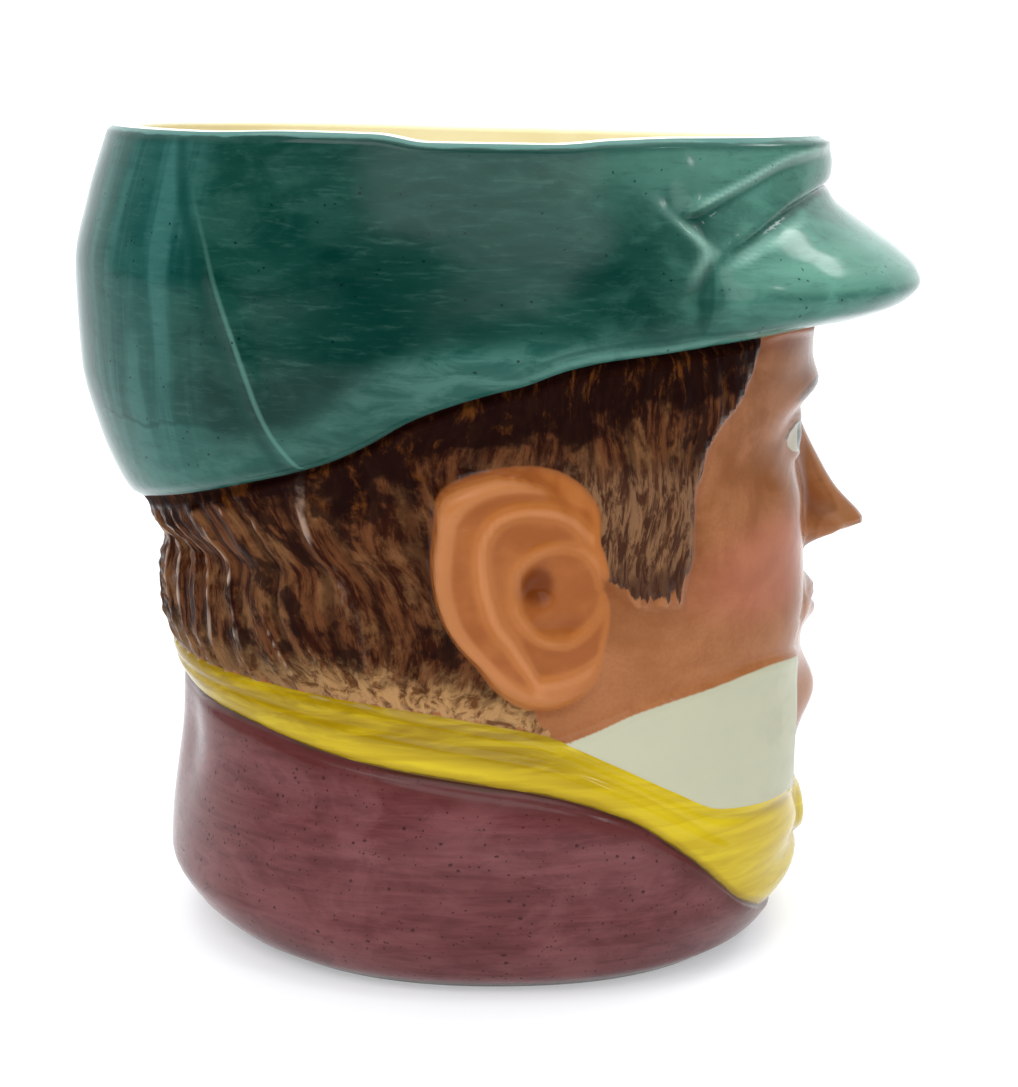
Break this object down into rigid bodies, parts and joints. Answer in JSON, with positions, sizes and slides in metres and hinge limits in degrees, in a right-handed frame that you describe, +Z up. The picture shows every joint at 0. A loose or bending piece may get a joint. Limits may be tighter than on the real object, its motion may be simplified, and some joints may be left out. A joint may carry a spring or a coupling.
{
  "type": "character jug",
  "caption": "Glazed earthenware jug shaped as a man's head in a peaked cap, hollow and open at the top, with a loop handle behind one ear.",
  "frame": {"origin": "centre of the flat underside that the jug stands on", "axes": "+Z up, -Y the way the face looks, +X the side of the handle"},
  "size_m": [0.1521, 0.1605, 0.1565],
  "materials": {
    "glazed_earthenware": "gloss"
  },
  "bodies": {
    "root": {"jug": "glazed_earthenware"}
  },
  "joints": []
}
